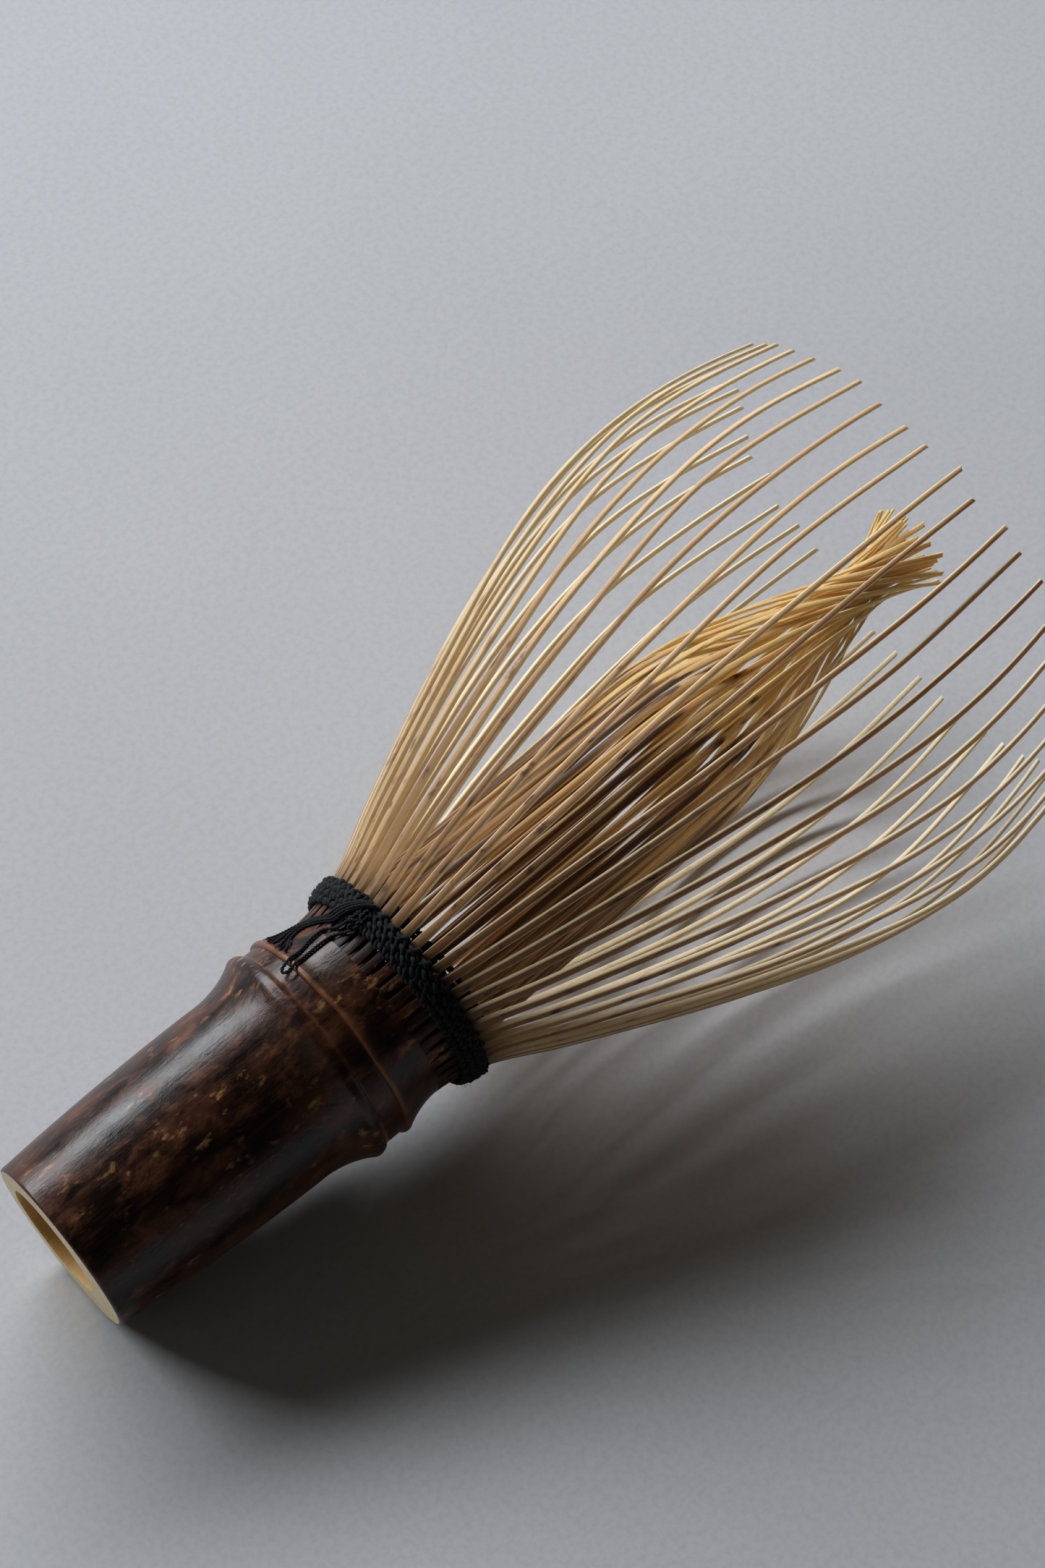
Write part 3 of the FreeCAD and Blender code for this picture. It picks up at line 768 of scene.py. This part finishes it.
def make_weave():
    """Cord between the two layers of tines."""
    shape = Shape()
    for k, (s, radius) in enumerate(WEAVE_ROWS):
        cord(shape, round_path(radius, s, k * math.pi), 0.38, 1.45, closed=True)
    shape.build("thread_weave_look", [THREAD], ["thread_weave"])


# Heights and radii of what the loose ends lie on
COLLAR_LINE = np.array([
    (34.0, 12.95), (36.75, 12.92), (37.6, 12.50), (38.5, 12.14), (39.5, 11.87), (40.5, 11.71),
    (41.5, 11.65), (43.0, 11.78), (44.8, 12.12), (46.2, 12.50), (48.2, 13.20)])


def laid_path(rows, radius, per_span=12):
    """Path over the collar through rows of angle, height and gap above the bamboo."""
    rows = np.array(rows)
    fine = spline(rows[:, :3], per_span)
    return polar(fine[:, 0], along(COLLAR_LINE, fine[:, 1]) + fine[:, 2] + radius, fine[:, 1])


# Angle, height, gap above the bamboo and, for the tail, how far its strands fan out
TAIL_LINE = [(172.0, 46.9, 0.85, 0.6), (168.0, 46.3, 1.02, 0.7), (163.0, 45.2, 1.12, 0.8),
             (158.5, 44.1, 0.90, 0.9), (153.5, 43.2, 0.30, 1.0), (142.5, 41.9, 0.05, 1.0),
             (137.5, 40.5, 0.05, 1.0), (139.0, 38.9, 0.05, 1.7), (145.0, 37.2, 0.08, 3.0)]
BIGHT_LINE = [(169.5, 45.6, 0.95), (166.5, 44.0, 0.75), (162.0, 42.9, 0.14), (155.5, 41.7, 0.06),
              (156.2, 40.0, 0.06), (160.2, 38.3, 0.06), (163.0, 36.8, 0.08), (165.1, 35.5, 0.12),
              (166.2, 35.15, 0.12), (167.7, 35.1, 0.12), (168.8, 35.4, 0.12), (168.7, 35.9, 0.12),
              (166.9, 37.3, 0.08), (164.5, 38.8, 0.06), (163.0, 40.3, 0.06), (163.6, 41.8, 0.06),
              (168.0, 43.0, 0.14), (172.5, 44.0, 0.7), (174.0, 45.6, 0.95)]

# Angle, height and size of the knot's loops
KNOTS = [(165.0, 46.5, 0.70), (170.0, 46.0, 0.75), (162.0, 45.3, 0.60), (168.5, 44.8, 0.65),
         (171.5, 44.0, 0.50)]
KNOT_RADIUS = 13.0
TAIL_STRANDS, FRAYED_ENDS = 7, 16
STRAND_DEGREES = 1.12                   # from one strand to the next
BRUSH_S = 38.0                          # below this, the strands end at different heights
FRAY_DEGREES, FRAY_S = 141.5, 38.6      # where the cut ends start to spread


def make_tail():
    """The tied-off end: strands down the collar, a brush of cut ends and a knot on the turns."""
    shape = Shape()
    for k in range(TAIL_STRANDS):
        step = (k - TAIL_STRANDS // 2) * STRAND_DEGREES
        lift = 0.16 * (k % 2)
        end = 0.35 * uneven(k, 30)
        stray = 1.1 * uneven(k, 35)
        rows = [(degrees + step * fan + stray * (fan - 1.0), s + (end if s < BRUSH_S else 0.0),
                 gap + lift) for degrees, s, gap, fan in TAIL_LINE]
        cord(shape, laid_path(rows, 0.15), 0.17, 0.8, phase=k * 1.1)
    for k in range(FRAYED_ENDS):
        start = FRAY_DEGREES + 7.5 * uneven(k, 31)
        length = 1.3 + 0.5 * uneven(k, 32)
        drift = 2.5 * uneven(k, 33) + (start - FRAY_DEGREES) * 0.5
        rows = [(start, FRAY_S, 0.10), (start + drift * 0.5 + 1.5, FRAY_S - length * 0.5, 0.16),
                (start + drift + 4.0, FRAY_S - length * 1.15, 0.20 + 0.1 * uneven(k, 34))]
        tube(shape, laid_path(rows, 0.06, 6), np.linspace(0.075, 0.045, 13), 5)
    for k, (degrees, s, size) in enumerate(KNOTS):
        knot_loop(shape, degrees, s, size, k)
    shape.build("thread_tail_look", [THREAD], ["thread_tail"])


def knot_loop(shape, degrees, s, size, k):
    """One bight of the knot: a small closed loop of cord standing against the turns."""
    turn = np.linspace(0, 2 * math.pi, 40, endpoint=False)
    tilt = 0.9 * uneven(k, 40)
    base = along(COLLAR_LINE, s) + 0.75
    a = degrees + np.degrees(size * 0.62 * np.cos(turn + tilt) / KNOT_RADIUS)
    height = s + size * np.sin(turn)
    out = base + 0.22 + 0.22 * np.cos(turn * 2 + k)
    cord(shape, polar(a, out, height), 0.24, 0.9, closed=True)


def make_bight():
    """One strand that is doubled back and hangs over the ridge."""
    shape = Shape()
    cord(shape, laid_path(BIGHT_LINE, 0.19), 0.20, 0.85)
    shape.build("thread_bight_look", [THREAD], ["thread_bight"])


make_handle()
make_collar()
make_diaphragm()
make_tines()
make_turns()
make_weave()
make_tail()
make_bight()


# ---- floor, light and camera ----

def make_floor():
    """A plain pale table top, large enough that its edge is never in view."""
    size, cells = 1.6, 8        # half its width in metres, and how many squares across
    ticks = np.linspace(-size, size, cells + 1)
    verts = [(x, y, 0.0) for y in ticks for x in ticks]
    row = cells + 1
    faces = [(j * row + i, j * row + i + 1, (j + 1) * row + i + 1, (j + 1) * row + i)
             for j in range(cells) for i in range(cells)]
    mesh = bpy.data.meshes.new("floor")
    mesh.from_pydata(verts, [], faces)
    g = Graph("pale_table")
    coords = g.node("ShaderNodeTexCoord").outputs["Object"]
    soft = g.noise(coords, 9.0, 3.0)
    fine = g.noise(coords, 1200.0, 3.0, 0.6)
    color = g.mix(g.remap(soft, 0.3, 0.7), *TABLE_GREYS)
    color = g.mix(g.remap(fine, 0.35, 0.75, 0.0, 0.22), color, SPECK_GREY)
    mesh.materials.append(g.finish(color, 0.62, [(fine, 0.10, 0.0002)], Specular_IOR_Level=0.3))
    obj = bpy.data.objects.new("floor", mesh)
    SCENE.collection.objects.link(obj)


def area_light(name, at, look_at, width, height, power, color):
    """A rectangular light; sizes and places in metres, power in watts."""
    data = bpy.data.lights.new(name, "AREA")
    data.shape = "RECTANGLE"
    data.size, data.size_y = width, height
    data.energy = power
    data.color = color
    obj = bpy.data.objects.new(name, data)
    obj.location = at
    direction = Vector(look_at) - Vector(at)
    obj.rotation_euler = direction.to_track_quat("-Z", "Y").to_euler()
    SCENE.collection.objects.link(obj)


# The camera looks at a point on the table; metres and degrees.
LOOK_AT = (0.02187, 0.02342, 0.0)
AZIMUTH, ELEVATION, ROLL = 227.156, 52.242, 3.253
DISTANCE = 0.5975
LENS_MM, SENSOR_MM = 119.2, 36.0


def make_camera():
    data = bpy.data.cameras.new("camera")
    data.sensor_width = SENSOR_MM
    data.lens = LENS_MM
    data.clip_start = 0.01
    obj = bpy.data.objects.new("camera", data)
    obj.matrix_world = (Matrix.Translation(LOOK_AT)
                        @ Matrix.Rotation(math.radians(AZIMUTH + 90.0), 4, "Z")
                        @ Matrix.Rotation(math.radians(90.0 - ELEVATION), 4, "X")
                        @ Matrix.Rotation(math.radians(ROLL), 4, "Z")
                        @ Matrix.Translation((0.0, 0.0, DISTANCE)))
    SCENE.collection.objects.link(obj)
    SCENE.camera = obj


make_floor()
make_camera()
area_light("window", at=(0.0, 1.09, 0.79), look_at=(0.0, 0.0, 0.03), width=1.90, height=0.42,
           power=26.0, color=(0.97, 1.0, 1.045))
area_light("fill", at=(-1.0, 0.0, 0.45), look_at=(0.0, 0.0, 0.02), width=1.20, height=0.80,
           power=0.35, color=(1.0, 0.96, 0.90))
world = bpy.data.worlds.new("room")
world.use_nodes = True
background = world.node_tree.nodes["Background"]
background.inputs["Color"].default_value = (1.0, 0.925, 0.77, 1.0)
background.inputs["Strength"].default_value = 0.024
SCENE.world = world
SCENE.view_settings.view_transform = "Standard"
